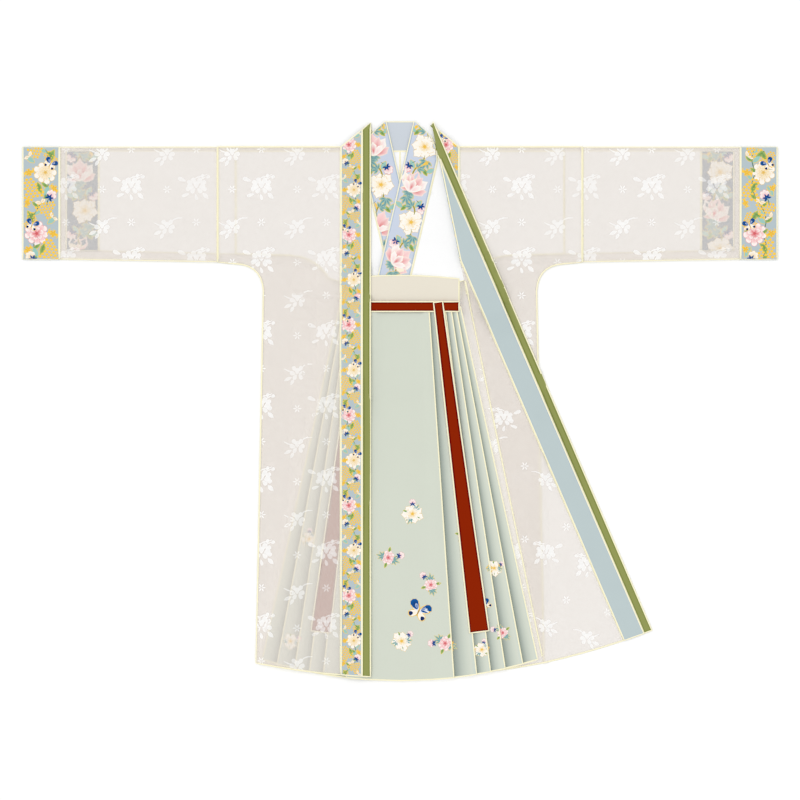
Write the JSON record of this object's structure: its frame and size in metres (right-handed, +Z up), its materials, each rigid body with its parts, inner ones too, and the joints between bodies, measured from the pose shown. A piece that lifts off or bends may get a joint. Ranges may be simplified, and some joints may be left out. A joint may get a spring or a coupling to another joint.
{
  "type": "hanfu set",
  "caption": "Hanfu set laid flat: long open gauze robe with one front turned back, cross-collared top and pleated skirt with hanging ties.",
  "frame": {"origin": "centre of the set's box on its flat underside, on the surface it lies on", "axes": "+X from sleeve to sleeve towards the wearer's left, +Y from the hem towards the neck, +Z up off the surface, towards the viewer"},
  "size_m": [1.81, 1.341, 0.0235],
  "materials": {
    "gauze": "translucent off-white damask gauze with a woven pattern of flowers",
    "floral_band": "pale blue-gray silk ribbon with roses, vines and gold thread",
    "green_edging": "olive green satin with a fine cream piping",
    "pale_blue_facing": "plain pale blue silk facing",
    "white_silk": "plain white silk",
    "floral_collar": "pale blue silk embroidered with peonies and leaves",
    "mint_silk": "mint green silk, knife-pleated, with small printed sprays",
    "beige_silk": "plain beige silk waistband",
    "red_silk": "dark red silk with a fine cream edge"
  },
  "bodies": {
    "root": {"robe_back": "gauze", "robe_band_back": "floral_band", "robe_band_left": "floral_band", "robe_band_right": "floral_band", "robe_cuff_left": "floral_band", "robe_cuff_right": "floral_band", "robe_edging_back": "green_edging", "robe_edging_left": "green_edging", "robe_edging_right": "green_edging", "robe_facing_left": "pale_blue_facing", "robe_front_left": "gauze", "robe_front_right": "gauze", "robe_sleeve_left": "gauze", "robe_sleeve_right": "gauze", "skirt_back": "mint_silk", "skirt_belt_back": "red_silk", "skirt_belt_front": "red_silk", "skirt_front": "mint_silk", "skirt_tie_left": "red_silk", "skirt_tie_right": "red_silk", "skirt_waistband_back": "beige_silk", "skirt_waistband_front": "beige_silk", "top_back_left": "white_silk", "top_back_right": "white_silk", "top_collar_back": "floral_collar", "top_collar_left": "floral_collar", "top_collar_right": "floral_collar", "top_cuff_left": "floral_collar", "top_cuff_right": "floral_collar", "top_front_left": "white_silk", "top_front_right": "white_silk", "top_sleeve_left": "white_silk", "top_sleeve_right": "white_silk"}
  },
  "joints": []
}
